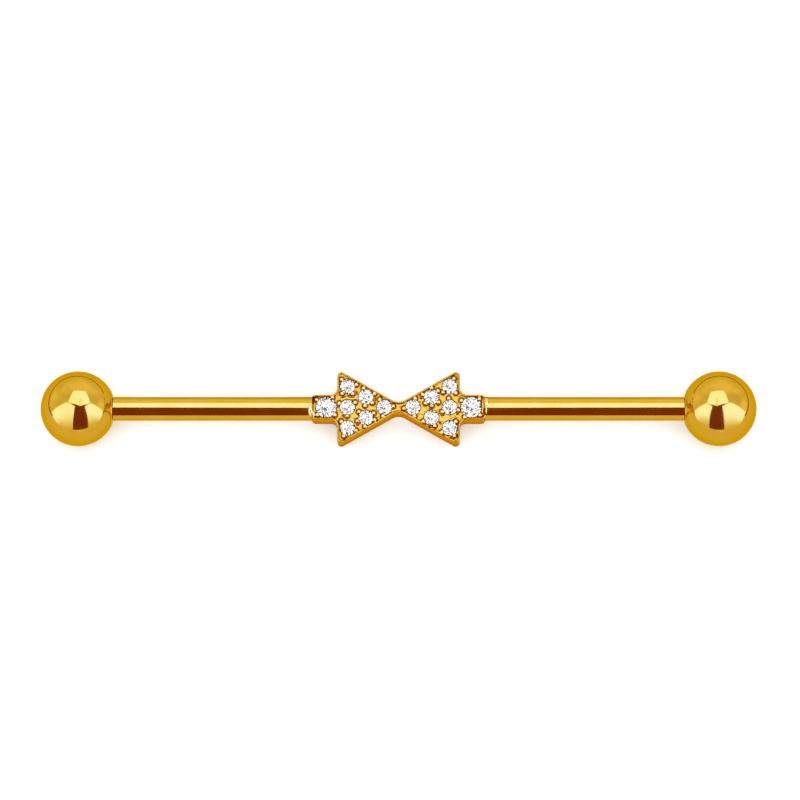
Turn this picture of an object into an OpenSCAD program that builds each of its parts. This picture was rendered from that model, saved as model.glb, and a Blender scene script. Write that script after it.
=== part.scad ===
// Industrial barbell: a straight bar with a ball screwed on at each end and, in its middle, two
// arrowheads that point at each other, set with small round stones.
// The bar runs along X and the stones face +Z. Z is 0 at the surface that the balls rest on.

/* [Bar and balls] */
// Distance between the flats of the two balls
bar_length = 38; // [28:0.5:48]
// Diameter of the bar
bar_d = 1.6; // [1.5:0.05:2]
// Diameter of each ball
ball_d = 5; // [4:0.1:8]
// Diameter of the flat on each ball, where the bar's end seats
ball_flat_d = 1.96; // [1.8:0.02:2.4]
// Diameter of the post at each end of the bar
post_d = 1.2; // [1:0.05:1.3]
// Length of the post
post_length = 3; // [1.5:0.1:3.4]
// Bevel on the tip of the post
post_bevel = 0.1; // [0.05:0.01:0.2]
// Gap all round between the post and the hole in the ball
post_gap = 0.02; // [0.01:0.005:0.05]
// Gap between the bar's end and the ball's flat
shoulder_gap = 0.02; // [0.01:0.005:0.05]
// Room left in the hole beyond the post
hole_spare = 0.15; // [0.05:0.05:0.3]

/* [Plate] */
// Thickness of the plate that the stones are set in
plate_thickness = 1.65; // [1.4:0.05:2]
// Height of the plate's face above the bar's axis
face_rise = 0.6; // [0.4:0.05:0.7]
// Width of the waist if the arrowheads met there in sharp corners
waist_width = 0.48; // [0.3:0.02:0.7]
// Radius of the hollow curve on each side of the waist
waist_r = 0.8; // [0.3:0.05:1.2]
// Radius of the arrowheads' outer corners
corner_r = 0.28; // [0.2:0.01:0.4]
// Radius of the hollow curve between an arrowhead and its neck
neck_curve_r = 0.45; // [0.2:0.05:0.6]
// Radius of the neck's outer corners
neck_corner_r = 0.3; // [0.15:0.05:0.5]
// Metal between the small stones and the plate's edge
edge_metal = 0.185; // [0.16:0.005:0.3]
// Metal between a large stone and each side of its neck
neck_metal = 0.15; // [0.14:0.005:0.3]
// Metal between a large stone and the end of its neck
neck_end_metal = 0.29; // [0.2:0.01:0.6]
// Length of bar that runs into the neck
bar_lap = 0.08; // [0.04:0.01:0.15]
// Width of the raised rim
rim_width = 0.11; // [0.06:0.005:0.115]
// Height of the rim above the field that the stones are sunk in
rim_height = 0.09; // [0.05:0.01:0.15]

/* [Stones] */
// Diameter of the small stones
small_d = 1; // [0.9:0.02:1.2]
// Diameter of the large stones
large_d = 1.38; // [1.2:0.02:1.5]
// Metal between neighbouring small stones
stone_space = 0.41; // [0.32:0.01:0.6]
// Metal between a large stone and the small one beside it
large_space = 0.235; // [0.2:0.005:0.5]
// Gap between each stone and the metal round it
stone_gap = 0.02; // [0.01:0.005:0.025]
// Depth of the stones' girdles under the field
girdle_depth = 0.03; // [0.02:0.005:0.06]
// Radius of the grains that hold the stones
grain_r = 0.13; // [0.1:0.005:0.15]
// Distance from a stone's edge to the middle of a grain
grain_offset = 0.1; // [0.06:0.005:0.12]
// Height of a grain's middle above the field
grain_lift = 0.02; // [0.01:0.005:0.05]

/* [Hidden] */
$fn = 72;
METAL = "goldenrod";
CLEAR = "white";
// What a cut reaches past the face that it opens
OPEN = 1;
// The small stones lie on a triangular grid, and an arrowhead's sides follow it
GRID_ANGLE = 30;
// Largest step along a curve of the plate's outline, in degrees
CURVE_STEP = 12;

// Proportions of the round brilliant cut, as shares of its diameter
TABLE_SHARE = 0.57;
CROWN_SHARE = 0.15;
GIRDLE_SHARE = 0.03;
PAVILION_SHARE = 0.43;
// How far the star facets reach from the table to the girdle, and how near the lower halves
// come to the point, both as shares of the way
STAR_SHARE = 0.5;
HALF_SHARE = 0.22;
// Main facets of the crown, and the same number below
MAINS = 8;

bar_r = bar_d / 2;
ball_r = ball_d / 2;
post_r = post_d / 2;
axis_z = ball_r;
bar_end = bar_length / 2;
flat_depth = sqrt(pow(ball_r, 2) - pow(ball_flat_d / 2, 2));
ball_x = bar_end + shoulder_gap + flat_depth;
hole_depth = post_length + hole_spare;

face_z = axis_z + face_rise;
field_z = face_z - rim_height;
pitch = small_d + stone_space;
column_step = pitch * cos(GRID_ANGLE);
row_step = pitch / 2;
side_margin = small_d / 2 + edge_metal;
tip_x = (side_margin / cos(GRID_ANGLE) - waist_width / 2) / tan(GRID_ANGLE);
rear_x = tip_x + 2 * column_step;
back_x = rear_x + side_margin;
large_x = rear_x + small_d / 2 + large_space + large_d / 2;
neck_y = large_d / 2 + neck_metal;
neck_x = large_x + large_d / 2 + neck_end_metal;

// One row for each stone: its name, the side of the waist, the column of the grid counted from
// the waist (the neck's stone has a place of its own), the row, and the directions of its grains
NAME = 0;
SIDE = 1;
COLUMN = 2;
ROW = 3;
GRAINS = 4;
NECK = 3;
STONES = [
    ["left_tip_stone", -1, 0, 0, [120, 6, 262]],
    ["left_upper_middle_stone", -1, 1, 1, [105, 20, 316, 265]],
    ["left_lower_middle_stone", -1, 1, -1, [140, 202, 265, 345, 30]],
    ["left_upper_corner_stone", -1, 2, 2, [233, 305, 130, 12]],
    ["left_rear_stone", -1, 2, 0, [32, 154, 268]],
    ["left_lower_corner_stone", -1, 2, -2, [133, 343, 247]],
    ["left_neck_stone", -1, NECK, 0, [142, 57, 222, 318]],
    ["right_tip_stone", 1, 0, 0, [188, 76, 280]],
    ["right_upper_middle_stone", 1, 1, 1, [166, 88, 42, 322, 228, 272]],
    ["right_lower_middle_stone", 1, 1, -1, [205, 292]],
    ["right_upper_corner_stone", 1, 2, 2, [312, 222, 62]],
    ["right_rear_stone", 1, 2, 0, [212, 96, 340]],
    ["right_lower_corner_stone", 1, 2, -2, [208, 300, 48]],
    ["right_neck_stone", 1, NECK, 0, [145, 237, 318, 46]],
];

// Points of an arc about a centre, from one direction to another
function arc(centre, r, from, to) =
    let (steps = ceil(abs(to - from) / CURVE_STEP))
    [for (k = [0:steps]) let (a = from + (to - from) * k / steps) centre + r * [cos(a), sin(a)]];

// A quarter of the plate's outline, from the waist to the neck's end, moved inwards by inset
function quarter_outline(inset) =
    let (
        waist = [0, waist_width / 2 + waist_r / cos(GRID_ANGLE)],
        corner_x = back_x - corner_r,
        corner_y = waist_width / 2 + corner_x * tan(GRID_ANGLE) - corner_r / cos(GRID_ANGLE)
    )
    concat(
        arc(waist, waist_r + inset, -90, -90 + GRID_ANGLE),
        arc([corner_x, corner_y], corner_r - inset, 90 + GRID_ANGLE, 0),
        arc([back_x + neck_curve_r, neck_y + neck_curve_r], neck_curve_r + inset, 180, 270),
        arc([neck_x - neck_corner_r, neck_y - neck_corner_r], neck_corner_r - inset, 90, 0)
    );

function mirrored(points, sx, sy) = [for (p = points) [sx * p.x, sy * p.y]];
function backwards(points) = [for (k = [len(points) - 1:-1:0]) points[k]];
function without_first(points) = [for (k = [1:len(points) - 1]) points[k]];

// The whole outline, clockwise from the waist's upper middle
function outline(inset) =
    let (quarter = quarter_outline(inset), rest = without_first(quarter))
    concat(
        quarter,
        backwards(mirrored(quarter, 1, -1)),
        mirrored(rest, -1, -1),
        backwards(mirrored(rest, -1, 1))
    );

function stone_d(stone) = stone[COLUMN] == NECK ? large_d : small_d;
function stone_x(stone) = stone[COLUMN] == NECK ? large_x : tip_x + stone[COLUMN] * column_step;
function stone_at(stone) = [stone[SIDE] * stone_x(stone), stone[ROW] * row_step, field_z - girdle_depth];

// Radius and height of the cut's corners above the girdle: the girdle's upper edge, the star
// facets' tips and the table. Heights count from the girdle's upper edge.
function table_r(d) = TABLE_SHARE * d / 2;
function star_r(d) =
    let (table_side = table_r(d) * cos(180 / MAINS))
    table_side + STAR_SHARE * (d / 2 - table_side);
function star_z(d) =
    CROWN_SHARE * d * (d / 2 - star_r(d) * cos(180 / MAINS)) / (d / 2 - table_r(d));
function half_r(d) = HALF_SHARE * d / 2;
function point_z(d) = -(GIRDLE_SHARE + PAVILION_SHARE) * d;
function half_z(d) = point_z(d) + PAVILION_SHARE * 2 * half_r(d) * cos(180 / MAINS);

// A ring of points, the first of them turned by some steps of half a facet
function ring(r, z, count, turn) =
    [for (k = [0:count - 1]) let (a = 360 * k / count + turn * 180 / MAINS) [r * cos(a), r * sin(a), z]];

// Round brilliant with its table up and its girdle's upper edge at Z 0
module brilliant(d) {
    table = 0;
    star = table + MAINS;
    girdle_top = star + MAINS;
    girdle_low = girdle_top + 2 * MAINS;
    half = girdle_low + 2 * MAINS;
    point = half + MAINS;
    points = concat(
        ring(table_r(d), CROWN_SHARE * d, MAINS, 0),
        ring(star_r(d), star_z(d), MAINS, 1),
        ring(d / 2, 0, 2 * MAINS, 0),
        ring(d / 2, -GIRDLE_SHARE * d, 2 * MAINS, 0),
        ring(half_r(d), half_z(d), MAINS, 1),
        [[0, 0, point_z(d)]]
    );
    facets = [for (k = [0:MAINS - 1])
        let (next = (k + 1) % MAINS, here = 2 * k, between = here + 1, after = (here + 2) % (2 * MAINS))
        each [
            [table + k, star + k, table + next],
            [table + k, girdle_top + here, star + k],
            [table + next, star + k, girdle_top + after],
            [star + k, girdle_top + here, girdle_top + between],
            [star + k, girdle_top + between, girdle_top + after],
            [girdle_top + here, girdle_low + here, girdle_low + between, girdle_top + between],
            [girdle_top + between, girdle_low + between, girdle_low + after, girdle_top + after],
            [half + k, girdle_low + between, girdle_low + here],
            [half + k, girdle_low + after, girdle_low + between],
            [half + k, girdle_low + here, point],
            [half + k, point, girdle_low + after],
        ]
    ];
    polyhedron(points, concat([[for (k = [0:MAINS - 1]) table + k]], facets));
}

// Half section of the seat under a stone, a funnel that opens to a given height
function seat_profile(d, top) =
    let (r = d / 2 + stone_gap, slope = PAVILION_SHARE * 2)
    [[0, -GIRDLE_SHARE * d - r * slope], [r, -GIRDLE_SHARE * d], [r, top], [0, top]];

// Half section of the room that a stone needs, gap included, with nothing over its table
function room_profile(d, top) =
    let (r = d / 2 + stone_gap, slope = PAVILION_SHARE * 2)
    [
        [0, -GIRDLE_SHARE * d - r * slope],
        [r, -GIRDLE_SHARE * d],
        [r, stone_gap],
        [star_r(d) + stone_gap, star_z(d) + stone_gap],
        [table_r(d) + stone_gap, CROWN_SHARE * d + stone_gap],
        [table_r(d) + stone_gap, top],
        [0, top],
    ];

// The grains round one stone, cut back to lean over its edge
module grains(stone) {
    d = stone_d(stone);
    translate(stone_at(stone)) difference() {
        for (a = stone[GRAINS])
            rotate([0, 0, a])
                translate([d / 2 + grain_offset, 0, girdle_depth + grain_lift])
                    sphere(grain_r);
        rotate_extrude() polygon(room_profile(d, OPEN));
    }
}

// The plate, with its rim and the seats
module plate() {
    difference() {
        translate([0, 0, face_z - plate_thickness])
            linear_extrude(plate_thickness) polygon(outline(0));
        translate([0, 0, field_z])
            linear_extrude(OPEN) polygon(outline(rim_width));
        for (stone = STONES)
            translate(stone_at(stone)) rotate_extrude() polygon(seat_profile(stone_d(stone), OPEN));
    }
}

// One bar with its post, along Z from the neck outwards
module bar() {
    rotate_extrude() polygon([
        [0, neck_x - bar_lap],
        [bar_r, neck_x - bar_lap],
        [bar_r, bar_end],
        [post_r, bar_end],
        [post_r, bar_end + post_length - post_bevel],
        [post_r - post_bevel, bar_end + post_length],
        [0, bar_end + post_length],
    ]);
}

module barbell_shaft() {
    color(METAL) union() {
        plate();
        for (stone = STONES) grains(stone);
        for (side = [-1, 1]) translate([0, 0, axis_z]) rotate([0, side * 90, 0]) bar();
    }
}

// A ball with its flat and its hole, on one end of the bar
module ball(side) {
    color(METAL) translate([side * ball_x, 0, axis_z]) rotate([0, side * 90, 0]) difference() {
        sphere(ball_r);
        translate([0, 0, -flat_depth - OPEN]) cylinder(h = OPEN, r = ball_r);
        translate([0, 0, -flat_depth - OPEN]) cylinder(h = OPEN + hole_depth, r = post_r + post_gap);
    }
}

module left_ball() { ball(-1); }
module right_ball() { ball(1); }

module stone(row) {
    color(CLEAR) translate(stone_at(row)) brilliant(stone_d(row));
}

barbell_shaft();
left_ball();
right_ball();
for (row = STONES) stone(row);
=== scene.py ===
"""Looks of an industrial barbell: a straight gold-coloured bar with a ball screwed on at each end
and, in its middle, two arrowheads that point at each other, set with small clear stones.

The bar runs along X and the stones face +Z. All lengths are in metres; MM turns millimetres to
metres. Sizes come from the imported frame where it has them, and are named fields elsewhere."""

import logging
import math
import random
from dataclasses import dataclass, field
from enum import Enum
from itertools import chain
from typing import Iterable, Sequence

import bmesh
import bpy
from mathutils import Matrix, Vector


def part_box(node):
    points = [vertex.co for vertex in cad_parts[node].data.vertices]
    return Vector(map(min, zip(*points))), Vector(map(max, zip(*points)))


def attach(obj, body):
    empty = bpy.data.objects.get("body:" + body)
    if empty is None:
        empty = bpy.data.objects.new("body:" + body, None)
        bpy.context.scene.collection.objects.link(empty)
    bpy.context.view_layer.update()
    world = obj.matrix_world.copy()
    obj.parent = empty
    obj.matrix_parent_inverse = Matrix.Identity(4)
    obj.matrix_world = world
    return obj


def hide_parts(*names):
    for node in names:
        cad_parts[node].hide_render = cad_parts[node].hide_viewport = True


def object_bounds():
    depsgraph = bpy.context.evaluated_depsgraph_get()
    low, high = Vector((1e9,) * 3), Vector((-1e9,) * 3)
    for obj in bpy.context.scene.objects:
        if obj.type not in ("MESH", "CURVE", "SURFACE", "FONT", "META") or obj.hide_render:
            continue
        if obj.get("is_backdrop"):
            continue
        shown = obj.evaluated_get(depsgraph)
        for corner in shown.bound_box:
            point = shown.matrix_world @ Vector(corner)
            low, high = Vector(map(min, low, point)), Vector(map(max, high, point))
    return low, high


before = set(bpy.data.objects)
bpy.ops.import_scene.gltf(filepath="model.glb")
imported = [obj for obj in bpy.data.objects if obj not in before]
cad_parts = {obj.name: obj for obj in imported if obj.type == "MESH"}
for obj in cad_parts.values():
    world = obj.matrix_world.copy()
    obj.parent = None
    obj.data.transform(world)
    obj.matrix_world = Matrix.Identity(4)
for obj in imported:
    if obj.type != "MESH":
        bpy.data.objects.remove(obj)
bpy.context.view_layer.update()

MM = 0.001
# Length in picture pixels of one millimetre of the object, and the picture's side in pixels
PIXELS_PER_MM = 15.03
PICTURE_SIDE = 800
log = logging.getLogger("barbell")

Point = tuple[float, float]
Point3 = tuple[float, float, float]


def linear(colour: str) -> tuple[float, float, float, float]:
    """Turn an sRGB hex colour into linear light.

    Args:
        colour: six hex digits after a hash sign.

    Returns:
        Red, green, blue and a full alpha, each from 0 to 1.
    """
    parts = [int(colour[k : k + 2], 16) / 255 for k in (1, 3, 5)]
    light = [c / 12.92 if c <= 0.04045 else ((c + 0.055) / 1.055) ** 2.4 for c in parts]
    return (*light, 1.0)


def add_node(
    tree: bpy.types.NodeTree,
    kind: str,
    settings: dict[str, object] | None = None,
    links: dict[str | int, bpy.types.NodeSocket] | None = None,
) -> bpy.types.Node:
    """Add a node with its settings and links.

    Args:
        tree: node tree to add to.
        kind: the node's type.
        settings: attribute names, or input names and numbers, with their values.
        links: input names or numbers, with the output that feeds each.

    Returns:
        The new node.
    """
    node = tree.nodes.new(kind)
    for name, value in (settings or {}).items():
        if isinstance(name, str) and hasattr(node, name):
            setattr(node, name, value)
        else:
            node.inputs[name].default_value = value
    for name, output in (links or {}).items():
        tree.links.new(output, node.inputs[name])
    return node


class Marks(Enum):
    """How the tool that finished a metal surface ran over it."""

    TURNED = "rings round the bar's axis"
    DRAWN = "lines along the bar"
    CAST = "uneven all over"


@dataclass(frozen=True)
class GoldCoatedTitanium:
    """Polished titanium with a yellow gold coating a few thousandths of a millimetre thick.

    The coating takes the polish of the metal under it, so the finish is a mirror with the faint
    marks of the tool: rings on a turned ball, lines along a drawn bar, ripples on a cast plate.
    """

    name: str
    marks: Marks
    # Reflectance of the coating, and its lighter and deeper patches
    light: str = "#dcaf3e"
    deep: str = "#d4a11f"
    # Tint of the reflection near the grazing angle, which stays gold instead of turning white
    edge: str = "#efd28c"
    # Roughness of the best and the worst polish
    polished: float = 0.05
    dull: float = 0.12
    # Width of the better and worse patches
    patch: float = 1.6 * MM
    # Real polishing lines lie some hundredths of a millimetre apart; these are as coarse as shows
    spacing: float = 0.11 * MM
    # How far a mark runs before it fades
    run: float = 2.5 * MM
    # Height of the marks
    height: float = 0.35e-3 * MM
    # Colour of the painted shade that darkens the corners, and how far out of them it reaches
    corner: str = "#6b2f06"
    reach: float = 0.0
    # Shares of open sky at which a corner gets the full painted shade and at which it gets none
    full_shade_at: float = 0.5
    unshaded_at: float = 0.95
    # Colour of the painted highlight on whatever stands above a height, such as the grains' tops
    # and the solder, that height, and its fade
    painted_highlight: str = "#f0c958"
    highlight_above: float = 0.0
    highlight_fade: float = 0.02 * MM
    # Height above which the tools left their marks; the sides below are filed and polished until
    # this share of them is left
    worked_above: float = 0.0
    worked_fade: float = 0.1 * MM
    filed: float = 0.07

    def scale(self) -> Vector:
        """Work out how fine the marks are.

        Returns:
            Noise cells per metre along X, Y and Z.
        """
        across, along = 1 / self.spacing, 1 / self.run
        if self.marks is Marks.TURNED:
            return Vector((across, along, along))
        if self.marks is Marks.DRAWN:
            return Vector((along, across, across))
        return Vector((across, across, across))

    def material(self) -> bpy.types.Material:
        """Build the material.

        Returns:
            A node material whose colour, polish and marks vary over the surface.
        """
        made = bpy.data.materials.new(self.name)
        made.use_nodes = True
        tree = made.node_tree
        tree.nodes.clear()
        place = add_node(tree, "ShaderNodeTexCoord").outputs["Object"]
        marked = add_node(
            tree, "ShaderNodeMapping", {"Scale": self.scale()}, {"Vector": place}
        ).outputs["Vector"]
        lines = add_node(
            tree, "ShaderNodeTexNoise", {"Scale": 1.0, "Detail": 2.0}, {"Vector": marked}
        ).outputs["Fac"]
        patches = add_node(
            tree, "ShaderNodeTexNoise", {"Scale": 1 / self.patch, "Detail": 3.0}, {"Vector": place}
        ).outputs["Fac"]
        colour = add_node(
            tree,
            "ShaderNodeMix",
            {"data_type": "RGBA", 6: linear(self.deep), 7: linear(self.light)},
            {0: patches},
        ).outputs[2]
        polish = add_node(
            tree,
            "ShaderNodeMapRange",
            {"From Min": 0.3, "From Max": 0.7, "To Min": self.polished, "To Max": self.dull},
            {"Value": patches},
        ).outputs["Result"]
        height = add_node(tree, "ShaderNodeSeparateXYZ", None, {"Vector": place}).outputs["Z"]
        worked = add_node(
            tree,
            "ShaderNodeMapRange",
            {
                "From Min": self.worked_above - self.worked_fade,
                "From Max": self.worked_above,
                "To Min": self.filed,
                "To Max": 1.0,
            },
            {"Value": height},
        ).outputs["Result"]
        normal = add_node(
            tree,
            "ShaderNodeBump",
            {"Distance": self.height},
            {"Strength": worked, "Height": lines},
        ).outputs["Normal"]
        # Painted highlight: everything higher than a height is mixed towards a pale colour
        if self.highlight_above:
            bright = add_node(
                tree,
                "ShaderNodeMapRange",
                {
                    "From Min": self.highlight_above,
                    "From Max": self.highlight_above + self.highlight_fade,
                    "interpolation_type": "SMOOTHSTEP",
                },
                {"Value": height},
            ).outputs["Result"]
            colour = add_node(
                tree,
                "ShaderNodeMix",
                {"data_type": "RGBA", 7: linear(self.painted_highlight)},
                {0: bright, 6: colour},
            ).outputs[2]
        # Painted shade: corners that see little open sky are darkened towards the corner colour
        if self.reach:
            open_sky = add_node(
                tree, "ShaderNodeAmbientOcclusion", {"samples": 8, "Distance": self.reach}
            ).outputs["AO"]
            unshaded = add_node(
                tree,
                "ShaderNodeMapRange",
                {"From Min": self.full_shade_at, "From Max": self.unshaded_at},
                {"Value": open_sky},
            ).outputs["Result"]
            colour = add_node(
                tree,
                "ShaderNodeMix",
                {"data_type": "RGBA", 6: linear(self.corner)},
                {0: unshaded, 7: colour},
            ).outputs[2]
        shader = add_node(
            tree,
            "ShaderNodeBsdfPrincipled",
            {"Metallic": 1.0, "Specular Tint": linear(self.edge)},
            {"Base Color": colour, "Roughness": polish, "Normal": normal},
        ).outputs["BSDF"]
        add_node(tree, "ShaderNodeOutputMaterial", None, {"Surface": shader})
        return made


@dataclass(frozen=True)
class CubicZirconia:
    """Clear cut cubic zirconia, ground and polished flat on each facet.

    Its high index sends most light back out of the top, so a stone is white with dark flecks.
    """

    name: str = "clear_cubic_zirconia_polished_facets"
    colour: str = "#fdfdfc"
    index: float = 2.16
    # The lap leaves its facets flat to less than a thousandth of a millimetre, in waves this long
    lap: float = 0.2 * MM
    lap_height: float = 0.3e-3 * MM

    def material(self) -> bpy.types.Material:
        """Build the material.

        Returns:
            A clear node material whose facets are a hair out of flat.
        """
        made = bpy.data.materials.new(self.name)
        made.use_nodes = True
        tree = made.node_tree
        tree.nodes.clear()
        place = add_node(tree, "ShaderNodeTexCoord").outputs["Object"]
        waves = add_node(
            tree, "ShaderNodeTexNoise", {"Scale": 1 / self.lap, "Detail": 1.0}, {"Vector": place}
        ).outputs["Fac"]
        normal = add_node(
            tree, "ShaderNodeBump", {"Distance": self.lap_height}, {"Height": waves}
        ).outputs["Normal"]
        shader = add_node(
            tree,
            "ShaderNodeBsdfPrincipled",
            {
                "Base Color": linear(self.colour),
                "IOR": self.index,
                "Transmission Weight": 1.0,
                "Roughness": 0.0,
            },
            {"Normal": normal},
        ).outputs["BSDF"]
        add_node(tree, "ShaderNodeOutputMaterial", None, {"Surface": shader})
        return made


@dataclass(frozen=True)
class MattePaper:
    """Matte white paper, pressed, with a fine tooth that is only just there."""

    name: str = "white_paper_pressed_matte"
    colour: str = "#f4f4f3"
    tooth: float = 0.4 * MM
    tooth_height: float = 0.004 * MM

    def material(self) -> bpy.types.Material:
        """Build the material.

        Returns:
            A diffuse node material with a slight tooth.
        """
        made = bpy.data.materials.new(self.name)
        made.use_nodes = True
        tree = made.node_tree
        tree.nodes.clear()
        place = add_node(tree, "ShaderNodeTexCoord").outputs["Object"]
        tooth = add_node(
            tree, "ShaderNodeTexNoise", {"Scale": 1 / self.tooth}, {"Vector": place}
        ).outputs["Fac"]
        normal = add_node(
            tree,
            "ShaderNodeBump",
            {"Strength": 0.3, "Distance": self.tooth_height},
            {"Height": tooth},
        ).outputs["Normal"]
        shader = add_node(
            tree,
            "ShaderNodeBsdfDiffuse",
            {"Color": linear(self.colour)},
            {"Normal": normal},
        ).outputs["BSDF"]
        add_node(tree, "ShaderNodeOutputMaterial", None, {"Surface": shader})
        return made


def new_object(
    name: str, points: Iterable[Sequence[float]], faces: Iterable[Sequence[int]]
) -> bpy.types.Object:
    """Make an object from points and faces, with its place in its mesh.

    Args:
        name: the object's name.
        points: corners in metres.
        faces: each face's corner numbers.

    Returns:
        The new object, in the scene.
    """
    mesh = bpy.data.meshes.new(name)
    mesh.from_pydata([tuple(p) for p in points], [], [tuple(f) for f in faces])
    mesh.validate()
    made = bpy.data.objects.new(name, mesh)
    bpy.context.scene.collection.objects.link(made)
    return made


def face_outwards(piece: bpy.types.Object) -> None:
    """Turn a closed mesh's faces outwards.

    Args:
        piece: the object whose mesh is turned.
    """
    work = bmesh.new()
    work.from_mesh(piece.data)
    bmesh.ops.recalc_face_normals(work, faces=work.faces)
    work.to_mesh(piece.data)
    work.free()


def smooth(piece: bpy.types.Object, sharp_over: float = 40.0) -> None:
    """Shade a piece smooth but for edges sharper than an angle in degrees."""
    piece.data.shade_smooth()
    piece.data.set_sharp_from_angle(angle=math.radians(sharp_over))


def join(name: str, pieces: Sequence[bpy.types.Object]) -> bpy.types.Object:
    """Join objects into the first of them and rename it.

    Args:
        name: the joined object's name.
        pieces: objects to join.

    Returns:
        The joined object.
    """
    with bpy.context.temp_override(
        active_object=pieces[0], object=pieces[0], selected_editable_objects=list(pieces)
    ):
        bpy.ops.object.join()
    pieces[0].name = pieces[0].data.name = name
    return pieces[0]


def bake_modifiers(piece: bpy.types.Object) -> None:
    """Replace a piece's mesh with what its modifiers make of it.

    Args:
        piece: the object, which has no modifiers afterwards.
    """
    graph = bpy.context.evaluated_depsgraph_get()
    done = bpy.data.meshes.new_from_object(piece.evaluated_get(graph), depsgraph=graph)
    piece.modifiers.clear()
    old, piece.data = piece.data, done
    bpy.data.meshes.remove(old)


def keep_largest(piece: bpy.types.Object) -> None:
    """Drop all shells of a mesh but the largest, such as specks that a cut leaves behind.

    Args:
        piece: the object that keeps its largest shell.
    """
    work = bmesh.new()
    work.from_mesh(piece.data)
    waiting, shells = set(work.verts), []
    while waiting:
        shell = [waiting.pop()]
        for corner in shell:
            beside = {edge.other_vert(corner) for edge in corner.link_edges} & waiting
            waiting -= beside
            shell.extend(beside)
        shells.append(shell)
    shells.sort(key=len)
    for shell in shells[:-1]:
        bmesh.ops.delete(work, geom=shell, context="VERTS")
    work.to_mesh(piece.data)
    work.free()


def enlarge(piece: bpy.types.Object, factor: float) -> None:
    """Scale a piece's mesh about the origin."""
    piece.data.transform(Matrix.Scale(factor, 4))


def cut_away(piece: bpy.types.Object, cutter: bpy.types.Object) -> None:
    """Cut one object out of another and remove it.

    Args:
        piece: the object that is cut.
        cutter: what is cut out of it.
    """
    cut = piece.modifiers.new("cut", "BOOLEAN")
    cut.operation = "DIFFERENCE"
    cut.object = cutter
    cut.solver = "EXACT"
    cut.use_self = True
    bake_modifiers(piece)
    bpy.data.objects.remove(cutter)


def lathe(name: str, profile: Sequence[Point], steps: int, place: Matrix) -> bpy.types.Object:
    """Turn a half section about its Z axis into a closed mesh.

    Args:
        name: the object's name.
        profile: radius and height of each corner; the first and the last lie on the axis.
        steps: number of facets round.
        place: where the turned shape goes.

    Returns:
        The new object.
    """
    points = [Vector((0, 0, profile[0][1]))]
    for radius, height in profile[1:-1]:
        for k in range(steps):
            angle = math.tau * k / steps
            points.append(Vector((radius * math.cos(angle), radius * math.sin(angle), height)))
    points.append(Vector((0, 0, profile[-1][1])))
    rings, last = len(profile) - 2, len(points) - 1
    faces: list[tuple[int, ...]] = []
    for k in range(steps):
        after = (k + 1) % steps
        faces.append((0, 1 + k, 1 + after))
        faces.append((last, last - steps + after, last - steps + k))
        for ring in range(rings - 1):
            low, high = 1 + ring * steps, 1 + (ring + 1) * steps
            faces.append((low + k, high + k, high + after, low + after))
    made = new_object(name, [place @ p for p in points], faces)
    face_outwards(made)
    return made


def arc(centre: Point, radius: float, start: float, end: float, step: float = 6.0) -> list[Point]:
    """Points of an arc.

    Args:
        centre: the arc's centre.
        radius: its radius.
        start: direction of its first point, in degrees.
        end: direction of its last point, in degrees.
        step: largest angle between points, in degrees.

    Returns:
        The points, both ends included.
    """
    count = max(1, math.ceil(abs(end - start) / step))
    turns = [math.radians(start + (end - start) * k / count) for k in range(count + 1)]
    return [(centre[0] + radius * math.cos(t), centre[1] + radius * math.sin(t)) for t in turns]


def along_x(side: int, x: float, z: float) -> Matrix:
    """Place that lays a turned shape's axis along X, outwards on one side."""
    return Matrix.Translation((x, 0, z)) @ Matrix.Rotation(side * math.pi / 2, 4, "Y")


@dataclass
class Ball:
    """A ball that screws on at one end of the bar, with its flat and its hole."""

    side: int
    flat_r: float = 0.98 * MM
    hole_r: float = 0.62 * MM
    hole_depth: float = 3.15 * MM
    # Rounding of the flat's edge and bevel of the hole's mouth
    edge: float = 0.05 * MM
    mouth: float = 0.06 * MM
    # Facets round the ball, and degrees from ring to ring
    steps: int = 96
    step: float = 3.0
    finish: GoldCoatedTitanium = field(
        default_factory=lambda: GoldCoatedTitanium("gold_coated_titanium_turned", Marks.TURNED)
    )

    @property
    def node(self) -> str:
        """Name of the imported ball."""
        return "right_ball" if self.side > 0 else "left_ball"

    def build(self) -> bpy.types.Object:
        """Build and dress the ball.

        Returns:
            The ball, riding on its own body.
        """
        low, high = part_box(self.node)
        axis_z = (low.z + high.z) / 2
        outer = max(abs(low.x), abs(high.x))
        length = abs(high.x - low.x)
        radius = (length**2 + self.flat_r**2) / (2 * length)
        flat = -math.sqrt(radius**2 - self.flat_r**2)
        flat_angle = math.degrees(math.atan2(flat, self.flat_r))
        skin = arc((0, 0), radius, 90, flat_angle, self.step)
        profile = [
            (0.0, radius),
            *skin[1:-1],
            (self.flat_r + 0.4 * self.edge, flat + 1.1 * self.edge),
            (self.flat_r + 0.1 * self.edge, flat + 0.4 * self.edge),
            (self.flat_r - 0.4 * self.edge, flat),
            (self.hole_r + self.mouth, flat),
            (self.hole_r, flat + self.mouth),
            (self.hole_r, flat + self.hole_depth),
            (0.0, flat + self.hole_depth),
        ]
        place = along_x(self.side, self.side * (outer - radius), axis_z)
        ball = lathe(f"{self.node}_polished", profile, self.steps, place)
        smooth(ball)
        ball.data.materials.append(self.finish.material())
        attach(ball, self.node)
        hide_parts(self.node)
        return ball


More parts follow.
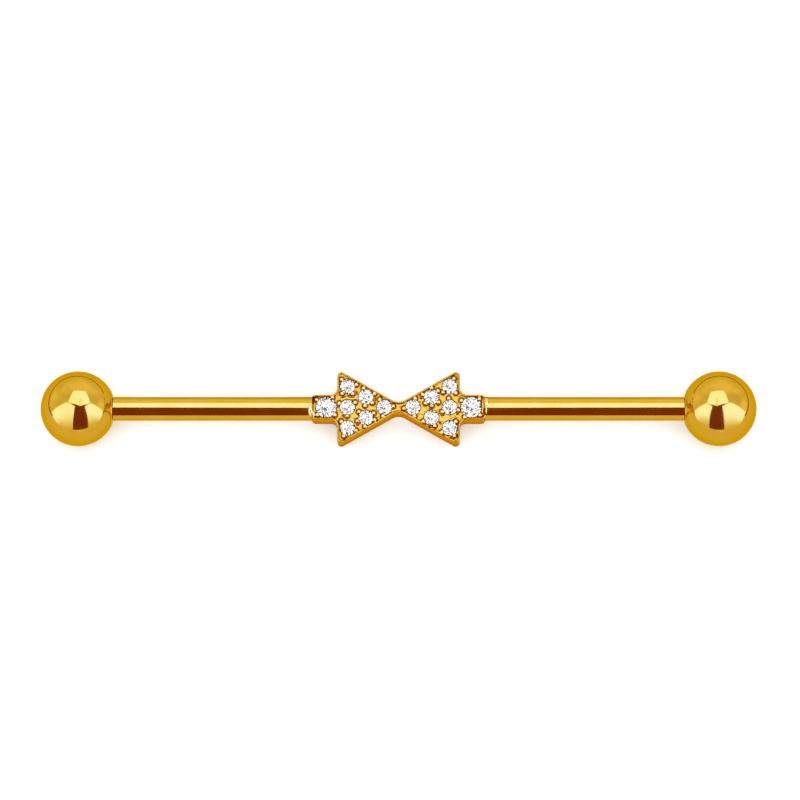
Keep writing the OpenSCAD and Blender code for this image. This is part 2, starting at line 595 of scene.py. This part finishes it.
@dataclass
class Bar:
    """One side of the bar, from the neck of the setting out to the tip of its post."""

    side: int
    start: float
    radius: float = 0.8 * MM
    shoulder: float = 19.0 * MM
    post_r: float = 0.6 * MM
    post_end: float = 22.0 * MM
    post_bevel: float = 0.1 * MM
    # Broken edge at the shoulder
    edge: float = 0.03 * MM
    steps: int = 72
    finish: GoldCoatedTitanium = field(
        default_factory=lambda: GoldCoatedTitanium("gold_coated_titanium_drawn", Marks.DRAWN)
    )

    def build(self, axis_z: float) -> bpy.types.Object:
        """Build and dress the bar.

        Args:
            axis_z: height of the bar's axis.

        Returns:
            The bar, riding on the shaft.
        """
        profile = [
            (0.0, self.start),
            (self.radius - self.edge, self.start),
            (self.radius, self.start + self.edge),
            (self.radius, self.shoulder - self.edge),
            (self.radius - self.edge, self.shoulder),
            (self.post_r, self.shoulder),
            (self.post_r, self.post_end - self.post_bevel),
            (self.post_r - self.post_bevel, self.post_end),
            (0.0, self.post_end),
        ]
        name = "right_bar" if self.side > 0 else "left_bar"
        bar = lathe(name, profile, self.steps, along_x(self.side, 0, axis_z))
        smooth(bar)
        bar.data.materials.append(self.finish.material())
        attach(bar, "shaft")
        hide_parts("barbell_shaft")
        return bar


# Proportions of a brilliant as shares of its radius: height of the crown and of the girdle,
# depth of the pavilion and radius of the table
CROWN = 0.3
GIRDLE = 0.06
PAVILION = 0.86
TABLE = 0.57


@dataclass(frozen=True)
class Stone:
    """One packed stone: its name, its middle, its radius and its girdle's upper edge."""

    node: str
    x: float
    y: float
    radius: float
    girdle_z: float

    @classmethod
    def of(cls, node: str) -> "Stone":
        """Read a stone's place from its box.

        Args:
            node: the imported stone's name.

        Returns:
            The stone.
        """
        low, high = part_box(node)
        radius = (high.x - low.x) / 2
        girdle_z = high.z - CROWN * radius
        return cls(node, (low.x + high.x) / 2, (low.y + high.y) / 2, radius, girdle_z)

    def build(self, turn: float, lean: float, clear: bpy.types.Material) -> bpy.types.Object:
        """Build the stone as the setter dropped it in, turned and a little aslant.

        Args:
            turn: turn about its own axis, in degrees.
            lean: how far its table leans, in degrees.
            clear: the stone's material.

        Returns:
            The stone, riding on the shaft.
        """
        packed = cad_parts[self.node]
        work = bmesh.new()
        work.from_mesh(packed.data)
        work.transform(packed.matrix_world)
        bmesh.ops.remove_doubles(work, verts=work.verts, dist=1e-4 * MM)
        centre = Vector((self.x, self.y, self.girdle_z))
        turned = Matrix.Rotation(math.radians(turn), 4, "Z")
        leant = Matrix.Rotation(math.radians(lean), 4, "X")
        spin = turned @ leant @ Matrix.Rotation(math.radians(turn), 4, "Z")
        work.transform(Matrix.Translation(centre) @ spin @ Matrix.Translation(-centre))
        name = self.node.replace("_stone", "_brilliant")
        cut = new_object(name, [], [])
        work.to_mesh(cut.data)
        work.free()
        cut.data.shade_flat()
        cut.data.materials.append(clear)
        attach(cut, "shaft")
        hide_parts(self.node)
        return cut


# Directions of the grains round each stone, in degrees, as the setter placed them
GRAINS: dict[str, list[float]] = {
    "left_tip_stone": [120, 6, 262],
    "left_upper_middle_stone": [105, 20, 316, 265],
    "left_lower_middle_stone": [140, 202, 265, 345, 30],
    "left_upper_corner_stone": [233, 305, 130, 12],
    "left_rear_stone": [32, 154, 268],
    "left_lower_corner_stone": [133, 343, 247],
    "left_neck_stone": [142, 57, 222, 318],
    "right_tip_stone": [188, 76, 280],
    "right_upper_middle_stone": [166, 88, 42, 322, 228, 272],
    "right_lower_middle_stone": [205, 292],
    "right_upper_corner_stone": [312, 222, 62],
    "right_rear_stone": [212, 96, 340],
    "right_lower_corner_stone": [208, 300, 48],
    "right_neck_stone": [145, 237, 318, 46],
}

# Cuts of the graver between the stones: middle, direction in degrees and length, in millimetres
CUTS: list[tuple[float, float, float, float]] = [
    (-3.69, 0.71, 15, 0.40),
    (-3.20, 0.74, 173, 0.60),
    (-2.78, 1.53, 52, 0.21),
    (-2.78, 0.97, 113, 0.33),
    (-1.67, 0.21, 16, 0.40),
    (-1.54, 0.55, 74, 0.34),
    (-2.71, -1.18, 23, 0.28),
    (-2.26, -1.42, 41, 0.20),
    (-1.07, -0.69, 113, 0.16),
    (-1.56, -0.45, 108, 0.21),
    (-1.45, -0.91, 113, 0.16),
    (-4.12, -0.36, 102, 0.24),
    (-4.02, 0.05, 125, 0.24),
    (-3.65, -0.60, 141, 0.27),
    (-3.66, -2.31, 36, 0.44),
    (-3.92, 0.21, 90, 0.22),
    (-2.68, -0.36, 125, 0.19),
    (-0.41, 0.11, 77, 0.29),
    (2.68, 1.22, 107, 0.29),
    (2.25, 1.30, 128, 0.17),
    (2.17, -0.08, 16, 0.35),
    (2.17, 0.06, 161, 0.31),
    (1.50, 0.62, 0, 0.19),
    (3.90, -0.47, 101, 0.15),
    (3.90, 0.02, 147, 0.24),
    (1.71, -1.18, 146, 0.18),
    (2.08, -1.35, 134, 0.18),
    (2.36, -1.60, 130, 0.20),
    (2.98, -1.88, 130, 0.20),
    (3.48, -2.08, 147, 0.20),
    (3.89, -1.94, 101, 0.27),
    (2.76, -1.06, 125, 0.29),
    (2.94, -0.52, 25, 0.30),
    (0.31, -0.20, 141, 0.14),
    (5.49, 0.34, 129, 0.17),
    (2.64, 0.15, 158, 0.18),
    (0.99, -0.60, 111, 0.26),
    (3.72, -0.91, 168, 0.30),
]

# Solder that ran round the bars where they meet the necks: place along X, direction in degrees
# from the top towards the front, and half sizes along, round and out of the bar, in millimetres
SOLDER: list[tuple[float, float, Point3]] = [
    (-5.86, 20, (0.14, 0.46, 0.08)),
    (-5.74, 44, (0.20, 0.34, 0.12)),
    (5.83, -32, (0.16, 0.42, 0.08)),
    (5.82, 20, (0.05, 0.30, 0.05)),
]

# Grooves left open where the solder didn't flow: middle and half sizes, in millimetres
GROOVES: list[tuple[Point3, Point3]] = [
    ((-5.68, 0.46, 3.10), (0.065, 0.30, 0.35)),
    ((5.69, -0.30, 3.10), (0.05, 0.30, 0.30)),
]


@dataclass
class Setting:
    """The cast plate of two arrowheads and two necks, with its rim, seats, grains and solder."""

    stones: list[Stone]
    axis_z: float
    bar_r: float = 0.8 * MM
    thickness: float = 1.65 * MM
    face_rise: float = 0.6 * MM
    waist_width: float = 0.48 * MM
    waist_r: float = 0.8 * MM
    corner_r: float = 0.28 * MM
    neck_curve_r: float = 0.45 * MM
    neck_corner_r: float = 0.3 * MM
    edge_metal: float = 0.185 * MM
    neck_metal: float = 0.15 * MM
    neck_end_metal: float = 0.29 * MM
    rim_width: float = 0.12 * MM
    rim_height: float = 0.09 * MM
    # Rounding of the outer edges and slope of the rim's inner wall
    top_edge: float = 0.07 * MM
    low_edge: float = 0.1 * MM
    rim_slope: float = 0.02 * MM
    stone_gap: float = 0.02 * MM
    seat_mouth: float = 0.035 * MM
    grain_r: float = 0.15 * MM
    grain_offset: float = 0.1 * MM
    grain_lift: float = 0.02 * MM
    grain_press: float = 0.62
    # Hollow that the beading tool leaves round each grain
    hollow_width: float = 0.07 * MM
    hollow_depth: float = 0.085 * MM
    cut_width: float = 0.16 * MM
    cut_depth: float = 0.12 * MM
    # Facets round a seat and round a grain
    seat_steps: int = 48
    lump_steps: int = 24
    # Side of the cells in which the parts are fused, as a casting is, and the share of the faces
    # that is kept
    cell: float = 0.025 * MM
    kept: float = 0.36
    finish: GoldCoatedTitanium = field(
        default_factory=lambda: GoldCoatedTitanium(
            "gold_coated_setting_cast",
            Marks.CAST,
            light="#e0a62c",
            deep="#cc8c0a",
            edge="#eac26c",
            # Painted shade in the corners: its colour and how far it reaches
            corner="#a03a00",
            polished=0.06,
            dull=0.13,
            spacing=0.22 * MM,
            height=0.05 * MM,
            reach=0.18 * MM,
            # Painted highlight on the grains' tops and the solder above this height
            highlight_above=3.105 * MM,
            worked_above=3.0 * MM,
        )
    )

    def __post_init__(self) -> None:
        """Work out the outline's own places from the stones."""
        neck = max(self.stones, key=lambda s: s.x)
        rear = next(s for s in self.stones if s.node == "right_rear_stone")
        self.back_x = rear.x + rear.radius + self.edge_metal
        self.neck_y = neck.radius + self.neck_metal
        self.neck_x = neck.x + neck.radius + self.neck_end_metal
        self.face_z = self.axis_z + self.face_rise
        self.field_z = self.face_z - self.rim_height

    def outline(self, inset: float) -> list[Point]:
        """Outline of the plate, moved inwards.

        Args:
            inset: distance moved inwards.

        Returns:
            Points all round, clockwise from the waist's upper middle.
        """
        slope = math.radians(30)
        waist = (0.0, self.waist_width / 2 + self.waist_r / math.cos(slope))
        corner_x = self.back_x - self.corner_r
        corner_y = (
            self.waist_width / 2 + corner_x * math.tan(slope) - self.corner_r / math.cos(slope)
        )
        curve, neck_r = self.neck_curve_r, self.neck_corner_r
        quarter = [
            *arc(waist, self.waist_r + inset, -90, -60),
            *arc((corner_x, corner_y), self.corner_r - inset, 120, 0),
            *arc((self.back_x + curve, self.neck_y + curve), curve + inset, 180, 270),
            *arc((self.neck_x - neck_r, self.neck_y - neck_r), neck_r - inset, 90, 0),
        ]
        below = [(x, -y) for x, y in reversed(quarter)]
        return [
            *quarter,
            *below,
            *[(-x, -y) for x, y in quarter[1:]],
            *[(-x, -y) for x, y in below[:-1]],
        ]

    def plate(self) -> bpy.types.Object:
        """Build the plate with its rounded edges and its sunk field.

        Returns:
            The plate, still without seats.
        """
        low_z, edge = self.face_z - self.thickness, self.top_edge
        levels = [
            (low_z, self.low_edge),
            (low_z + 0.3 * self.low_edge, 0.3 * self.low_edge),
            (low_z + self.low_edge, 0.0),
            (self.face_z - edge, 0.0),
            (self.face_z - 0.3 * edge, 0.3 * edge),
            (self.face_z, edge),
            (self.face_z, self.rim_width - self.rim_slope),
            (self.field_z, self.rim_width + self.rim_slope),
        ]
        rings = [[(x, y, z) for x, y in self.outline(inset)] for z, inset in levels]
        count = len(rings[0])
        faces: list[tuple[int, ...]] = [tuple(range(count))]
        for ring in range(len(levels) - 1):
            for k in range(count):
                after = (k + 1) % count
                low, high = ring * count, (ring + 1) * count
                faces.append((low + k, low + after, high + after, high + k))
        faces.append(tuple(range(len(levels) * count - 1, (len(levels) - 1) * count - 1, -1)))
        made = new_object("arrowhead_setting", chain(*rings), faces)
        face_outwards(made)
        return made

    def seats(self) -> bpy.types.Object:
        """Build the cutters for the seats: funnels with a bevelled mouth.

        Returns:
            All the cutters in one object.
        """
        made = []
        for stone in self.stones:
            r = stone.radius + self.stone_gap
            mouth = self.field_z - stone.girdle_z
            profile = [
                (0.0, -GIRDLE * stone.radius - PAVILION * r),
                (r, -GIRDLE * stone.radius),
                (r, 0.3 * mouth),
                (r + self.seat_mouth, mouth + 0.3 * self.seat_mouth),
                (r + self.seat_mouth, self.rim_height + mouth + MM),
                (0.0, self.rim_height + mouth + MM),
            ]
            place = Matrix.Translation((stone.x, stone.y, stone.girdle_z))
            made.append(lathe("seat", profile, self.seat_steps, place))
        return join("seats", made)

    def rooms(self) -> bpy.types.Object:
        """Build the room that the stones need, with nothing over their tables.

        Returns:
            All the rooms in one object.
        """
        made = []
        for stone in self.stones:
            r, gap = stone.radius, self.stone_gap
            profile = [
                (0.0, -GIRDLE * r - PAVILION * (r + gap)),
                (r + gap, -GIRDLE * r),
                (r + gap, gap),
                (TABLE * r + gap, CROWN * r + gap),
                (TABLE * r + gap, CROWN * r + MM),
                (0.0, CROWN * r + MM),
            ]
            place = Matrix.Translation((stone.x, stone.y, stone.girdle_z))
            made.append(lathe("room", profile, self.seat_steps, place))
        return join("rooms", made)

    def lump(self, centre: Vector, halves: Sequence[float], turn: float = 0.0) -> bpy.types.Object:
        """Build a round lump.

        Args:
            centre: its middle.
            halves: its half sizes along, across and up.
            turn: direction of its length, in degrees.

        Returns:
            The lump.
        """
        place = Matrix.LocRotScale(
            centre, Matrix.Rotation(math.radians(turn), 3, "Z"), Vector(halves)
        )
        profile = arc((0, 0), 1.0, -90, 90, 360 / self.lump_steps)
        return lathe("lump", profile, self.lump_steps, place)

    def grain_places(self) -> list[Vector]:
        """Place the grains.

        Returns:
            Middle of each grain at the field's height.
        """
        places = []
        for stone in self.stones:
            for direction in GRAINS[stone.node]:
                angle = math.radians(direction)
                away = stone.radius + self.grain_offset
                x, y = stone.x + away * math.cos(angle), stone.y + away * math.sin(angle)
                places.append(Vector((x, y, self.field_z)))
        return places

    def grains(self) -> bpy.types.Object:
        """Build the grains that hold the stones, pressed a little flat.

        Returns:
            All the grains in one object.
        """
        r, lift = self.grain_r, Vector((0, 0, self.grain_lift))
        halves = (r, r, self.grain_press * r + self.grain_lift)
        return join("grains", [self.lump(p + lift, halves) for p in self.grain_places()])

    def hollows(self) -> bpy.types.Object:
        """Build the cutters for the hollows round the grains.

        Returns:
            All the cutters in one object.
        """
        r = self.grain_r + self.hollow_width
        halves = (r, r, self.hollow_depth)
        return join("hollows", [self.lump(p, halves) for p in self.grain_places()])

    def cuts(self) -> bpy.types.Object:
        """Build the cutters for the graver's cuts.

        Returns:
            All the cutters in one object.
        """
        made = []
        for x, y, turn, length in CUTS:
            middle = Vector((x * MM, y * MM, self.field_z + 0.2 * self.cut_depth))
            halves = (0.5 * length * MM, 0.5 * self.cut_width, self.cut_depth)
            made.append(self.lump(middle, halves, turn))
        return join("cuts", made)

    def solder(self) -> bpy.types.Object:
        """Build the solder, bent round the bars.

        Returns:
            All the solder in one object.
        """
        made = []
        for x, direction, halves in SOLDER:
            run = self.lump(Vector((0, 0, 0)), [h * MM for h in halves])
            for corner in run.data.vertices:
                along, round_bar, out = corner.co
                turn = math.radians(direction) + round_bar / self.bar_r
                reach = self.bar_r + out
                corner.co = (
                    x * MM + along,
                    -reach * math.sin(turn),
                    self.axis_z + reach * math.cos(turn),
                )
            made.append(run)
        return join("solder", made)

    def grooves(self) -> bpy.types.Object:
        """Build the cutters for the grooves beside the solder.

        Returns:
            All the cutters in one object.
        """
        made = [self.lump(Vector(mid) * MM, Vector(halves) * MM) for mid, halves in GROOVES]
        return join("grooves", made)

    def build(self) -> bpy.types.Object:
        """Build and dress the setting.

        Returns:
            The setting in one skin, riding on the shaft.
        """
        parts = [
            self.plate(),
            self.seats(),
            self.cuts(),
            self.hollows(),
            self.grains(),
            self.rooms(),
            self.solder(),
            self.grooves(),
        ]
        # Cutting is exact at the size of the workbench, so it is done in millimetres
        for part in parts:
            enlarge(part, 1 / MM)
        plate, seats, cuts, hollows, grains, rooms, solder, grooves = parts
        for cutter in (seats, cuts, hollows, grooves):
            cut_away(plate, cutter)
        cut_away(grains, rooms)
        setting = join("arrowhead_setting", [plate, grains, solder])
        fuse = setting.modifiers.new("fuse", "REMESH")
        fuse.mode = "VOXEL"
        fuse.voxel_size = self.cell / MM
        soften = setting.modifiers.new("soften", "SMOOTH")
        soften.factor = 0.5
        soften.iterations = 2
        fewer = setting.modifiers.new("fewer", "DECIMATE")
        fewer.ratio = self.kept
        bake_modifiers(setting)
        keep_largest(setting)
        enlarge(setting, MM)
        smooth(setting, 60.0)
        setting.data.materials.clear()
        setting.data.materials.append(self.finish.material())
        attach(setting, "shaft")
        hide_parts("barbell_shaft")
        return setting


@dataclass(frozen=True)
class Light:
    """An even light: its colour and how strong it is."""

    colour: str
    strength: float


@dataclass(frozen=True)
class Card:
    """A lit or dark card round the object, seen in its reflections alone."""

    name: str
    # Corners in millimetres from the point of the table under the object's middle
    corners: tuple[Point3, ...]
    top: Light
    foot: Light | None = None
    # Places across the table between which the foot's light turns into the top's, in millimetres
    foot_y: float = -130.0
    top_y: float = -35.0
    # Whether it shows in mirror images, or through the stones
    in_mirror: bool = True
    through_stones: bool = False
    # What the stones show of it instead: they need no tinted light to look white
    in_stones: Light = Light("#fbfaf9", 1.0)

    def build(self) -> bpy.types.Object:
        """Build the card.

        Returns:
            The card, marked as stage.
        """
        made = new_object(
            self.name, [Vector(c) * MM for c in self.corners], [range(len(self.corners))]
        )
        material = bpy.data.materials.new(self.name)
        material.use_nodes = True
        tree = material.node_tree
        tree.nodes.clear()
        place = add_node(tree, "ShaderNodeTexCoord").outputs["Object"]
        across = add_node(tree, "ShaderNodeSeparateXYZ", None, {"Vector": place}).outputs["Y"]
        rise = add_node(
            tree,
            "ShaderNodeMapRange",
            {
                "From Min": self.foot_y * MM,
                "From Max": self.top_y * MM,
                "interpolation_type": "SMOOTHSTEP",
            },
            {"Value": across},
        ).outputs["Result"]
        lights = [
            add_node(
                tree,
                "ShaderNodeEmission",
                {"Color": linear(light.colour), "Strength": light.strength},
            ).outputs["Emission"]
            for light in (self.foot or self.top, self.top)
        ]
        mixed = add_node(
            tree, "ShaderNodeMixShader", None, {0: rise, 1: lights[0], 2: lights[1]}
        ).outputs["Shader"]
        # A stone's facets are perfect mirrors, and the metal's polish never is
        perfect = add_node(tree, "ShaderNodeLightPath").outputs["Is Singular Ray"]
        in_stones = add_node(
            tree,
            "ShaderNodeEmission",
            {"Color": linear(self.in_stones.colour), "Strength": self.in_stones.strength},
        ).outputs["Emission"]
        shown = add_node(
            tree, "ShaderNodeMixShader", None, {0: perfect, 1: mixed, 2: in_stones}
        ).outputs["Shader"]
        add_node(tree, "ShaderNodeOutputMaterial", None, {"Surface": shown})
        made.data.materials.append(material)
        made.visible_camera = False
        made.visible_diffuse = False
        made.visible_shadow = False
        made.visible_glossy = self.in_mirror
        made.visible_transmission = self.through_stones
        made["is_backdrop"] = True
        return made


def mirrored(corners: Sequence[Point3]) -> tuple[Point3, ...]:
    """Corners on the other side of the middle."""
    return tuple((-x, y, z) for x, y, z in corners)


# Card of the window on the left, which fades towards the table in front
LEFT_CARD = (
    (-88.0, 20.0, 118.0),
    (-33.0, -8.0, 125.0),
    (-52.0, -150.0, 22.0),
    (-150.0, -130.0, 6.0),
    (-150.0, -20.0, 10.0),
)

# Light that gold turns to cream, and the light of the room round the cards
COOL = Light("#6c83ff", 9.6)
EVEN = Light("#fffaf0", 1.0)
# What the stones show of a dark card
DUSK = Light("#4c4643", 0.8)
# Light of the thin dark cards that stand on the table round each ball
DARK_LINE = Light("#a8480c", 0.6)


def dark_line_cards(name: str, line: Sequence[Point3], seen_from: float, wide: float) -> list[Card]:
    """Upright cards along a line on the table round a ball, which look equally wide from the ball.

    Args:
        name: start of the cards' names.
        line: middle of the cards' line at each corner, in millimetres.
        seen_from: the ball's place along X, in millimetres.
        wide: width of the line as seen from the ball, in radians.

    Returns:
        One card for each straight part of the line.
    """
    edges = []
    for x, y, z in line:
        half = 0.5 * wide * math.hypot(x - seen_from, y)
        edges.append(((x, y, z - half), (x, y, z + half)))
    return [
        Card(f"{name}_{k}", (low[0], high[0], high[1], low[1]), DARK_LINE, in_stones=DUSK)
        for k, (low, high) in enumerate(zip(edges, edges[1:]))
    ]


# Line on the table that arcs behind the left ball, along which the dark cards stand; it shows as a
# fine dark line in the ball's mirror
LEFT_DARK_LINE = (
    (-150.0, -36.0, 5.0),
    (-80.0, -9.0, 1.5),
    (-42.0, 7.0, 0.1),
    (-31.0, 11.6, 0.1),
    (-21.0, 13.3, 0.1),
    (-12.0, 13.0, 0.1),
    (-4.0, 11.5, 0.1),
)


@dataclass
class Studio:
    """The table, the light round it and the camera."""

    # Angle of the line of sight above the horizon, in degrees
    elevation: float = 78.0
    lens: float = 200.0
    sensor: float = 36.0
    # Pixel of the picture where the object's middle lies
    middle_px: tuple[float, float] = (398.6, 408.8)
    dome: str = "#ffffff"
    # How far the room's light strays from even, up and down
    dome_sway: float = 0.15
    # Light of the room's bright patches as the stones throw it back; the others are dark
    sparkle: float = 1.65
    # Half the table's side, in metres
    table_half: float = 1.5
    # Watts of the light over the table, its height and its side in metres
    table_light: float = 9.0
    light_height: float = 0.9
    light_side: float = 1.2
    # Place of each ball's middle along X in millimetres, and how wide the dark line looks from it
    ball_x: float = 21.3
    dark_line_width: float = 0.1
    cards: tuple[Card, ...] = (
        Card(
            "overhead_card",
            ((-50, 120, 120), (50, 120, 120), (78, 18, 120), (0, -6, 120), (-78, 18, 120)),
            COOL,
        ),
        Card(
            "plate_card",
            ((-7, 45, 119), (7, 45, 119), (7, -6, 119), (-7, -6, 119)),
            Light("#d5e3ff", 2.4),
        ),
        Card(
            "glint_card",
            ((-5.4, -5.5, 27), (5.4, -5.5, 27), (5.4, -13.0, 26), (-5.4, -13.0, 26)),
            COOL,
        ),
        Card("left_card", LEFT_CARD, COOL, EVEN),
        Card("right_card", mirrored(LEFT_CARD), COOL, EVEN),
        Card(
            "dark_card",
            ((-60, 10, 165), (60, 10, 165), (75, -175, 35), (-75, -175, 35)),
            Light("#80402b", 1.1),
            in_stones=DUSK,
        ),
    )

    def light_world(self) -> None:
        """Light the scene from all round, behind a plain white backdrop."""
        world = bpy.data.worlds.new("studio")
        bpy.context.scene.world = world
        world.use_nodes = True
        tree = world.node_tree
        tree.nodes.clear()
        path = add_node(tree, "ShaderNodeLightPath").outputs
        place = add_node(tree, "ShaderNodeTexCoord").outputs["Generated"]
        patches = add_node(
            tree, "ShaderNodeTexNoise", {"Scale": 5.0, "Detail": 1.0}, {"Vector": place}
        ).outputs["Fac"]
        room = add_node(
            tree,
            "ShaderNodeMapRange",
            {"From Min": 0.48, "From Max": 0.50, "To Min": 0.0, "To Max": self.sparkle},
            {"Value": patches},
        ).outputs["Result"]
        soft = add_node(
            tree, "ShaderNodeTexNoise", {"Scale": 1.6, "Detail": 1.0}, {"Vector": place}
        ).outputs["Fac"]
        wall = add_node(
            tree,
            "ShaderNodeMapRange",
            {
                "From Min": 0.35,
                "From Max": 0.65,
                "To Min": 1 - self.dome_sway,
                "To Max": 1 + self.dome_sway,
            },
            {"Value": soft},
        ).outputs["Result"]
        through_stones = add_node(
            tree, "ShaderNodeMix", None, {0: path["Is Transmission Ray"], 2: wall, 3: room}
        ).outputs[0]
        light = add_node(
            tree,
            "ShaderNodeBackground",
            {"Color": linear(self.dome)},
            {"Strength": through_stones},
        ).outputs["Background"]
        add_node(tree, "ShaderNodeOutputWorld", None, {"Surface": light})

    def lay_table(self) -> None:
        """Lay the paper that the barbell rests on."""
        half = self.table_half
        corners = [(-half, -half, 0), (half, -half, 0), (half, half, 0), (-half, half, 0)]
        table = new_object("table", corners, [range(4)])
        table.data.materials.append(MattePaper().material())
        table.visible_glossy = False
        table.visible_transmission = False
        table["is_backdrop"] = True
        Card(
            "table_in_the_metal",
            tuple((x, y, 0.0) for x, y in ((-900, -900), (900, -900), (900, 900), (-900, 900))),
            Light("#fffaf0", 0.95),
            through_stones=True,
            in_stones=Light("#fffaf0", 0.95),
        ).build()

    def light_table(self) -> None:
        """Hang a broad soft light that only the paper shows."""
        light = bpy.data.lights.new("table_light", "AREA")
        light.shape = "SQUARE"
        light.size = self.light_side
        light.energy = self.table_light
        lamp = bpy.data.objects.new("table_light", light)
        lamp.location = (0, 0, self.light_height)
        lamp.visible_glossy = False
        lamp.visible_transmission = False
        bpy.context.scene.collection.objects.link(lamp)

    def set_camera(self) -> None:
        """Set the camera at the photograph's angle, with the object where it lies there."""
        low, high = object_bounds()
        target = Vector((0, 0, (low.z + high.z) / 2))
        angle = math.radians(self.elevation)
        back = Vector((0, -math.cos(angle), math.sin(angle)))
        up = Vector((0, math.sin(angle), math.cos(angle)))
        width = PICTURE_SIDE / PIXELS_PER_MM * MM
        centre = PICTURE_SIDE / 2
        across = (centre - self.middle_px[0]) / PIXELS_PER_MM * MM
        rise = (self.middle_px[1] - centre) / PIXELS_PER_MM * MM
        data = bpy.data.cameras.new("camera")
        data.lens, data.sensor_width = self.lens, self.sensor
        camera = bpy.data.objects.new("camera", data)
        camera.location = (
            target + back * (width * self.lens / self.sensor) + up * rise + Vector((across, 0, 0))
        )
        camera.rotation_mode = "QUATERNION"
        camera.rotation_quaternion = (-back).to_track_quat("-Z", "Y")
        data.clip_start, data.clip_end = 0.01, 10.0
        bpy.context.scene.collection.objects.link(camera)
        bpy.context.scene.camera = camera

    def build(self) -> None:
        """Set up the whole studio."""
        self.light_world()
        self.lay_table()
        self.light_table()
        for card in self.cards:
            card.build()
        for card in (
            *dark_line_cards("left_dark_line", LEFT_DARK_LINE, -self.ball_x, self.dark_line_width),
            *dark_line_cards("right_dark_line", mirrored(LEFT_DARK_LINE), self.ball_x, self.dark_line_width),
        ):
            card.build()
        self.set_camera()
        view = bpy.context.scene.view_settings
        view.view_transform = "Standard"
        # Light goes back and forth inside a cut stone, and between the metal and the stones
        cycles = bpy.context.scene.cycles
        cycles.max_bounces = 16
        cycles.transmission_bounces = 12
        cycles.glossy_bounces = 6


@dataclass
class Barbell:
    """The whole barbell."""

    # Fixes how each stone happens to be turned
    seed: int = 14
    # Smallest and largest lean of a stone's table, in degrees
    lean: Point = (0.5, 2.5)
    # How far a bar reaches into its neck
    lap: float = 0.08 * MM
    # How far the plate's shade on the table reaches round it and behind it, and where that begins
    shade_round: float = 0.45 * MM
    shade_behind: float = 2.4 * MM
    behind_y: float = 0.5 * MM

    def shade(self, setting: Setting) -> None:
        """Lay the plate's shade on the table, as the walls of the plate mirror it.

        Args:
            setting: the plate.
        """
        near = setting.outline(-self.shade_round)
        far = [(x, y) for x, y in setting.outline(-self.shade_behind) if y > self.behind_y]
        for name, outline, z, light in (
            ("shade_under_the_plate", near, 0.02, Light("#f2dab4", 0.85)),
            ("shade_behind_the_plate", far, 0.01, Light("#80452b", 0.9)),
        ):
            Card(name, tuple((x / MM, y / MM, z) for x, y in outline), light).build()

    def build(self) -> None:
        """Build every piece and say what was made."""
        names = sorted(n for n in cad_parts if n.endswith("_stone"))
        stones = [Stone.of(n) for n in names]
        low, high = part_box("left_ball")
        axis_z = (low.z + high.z) / 2
        setting = Setting(stones, axis_z)
        self.shade(setting)
        made = [setting.build()]
        made += [Bar(side, setting.neck_x - self.lap).build(axis_z) for side in (-1, 1)]
        made += [Ball(side).build() for side in (-1, 1)]
        clear = CubicZirconia().material()
        hand = random.Random(self.seed)
        for stone in stones:
            made.append(stone.build(hand.uniform(0, 360), hand.uniform(*self.lean), clear))
        for piece in made:
            piece.data.calc_loop_triangles()
            log.info("%s: %d triangles", piece.name, len(piece.data.loop_triangles))


def main() -> None:
    """Build the studio and the barbell."""
    logging.basicConfig(level=logging.INFO, format="%(message)s")
    Studio().build()
    Barbell().build()


if __name__ == "__main__":
    main()
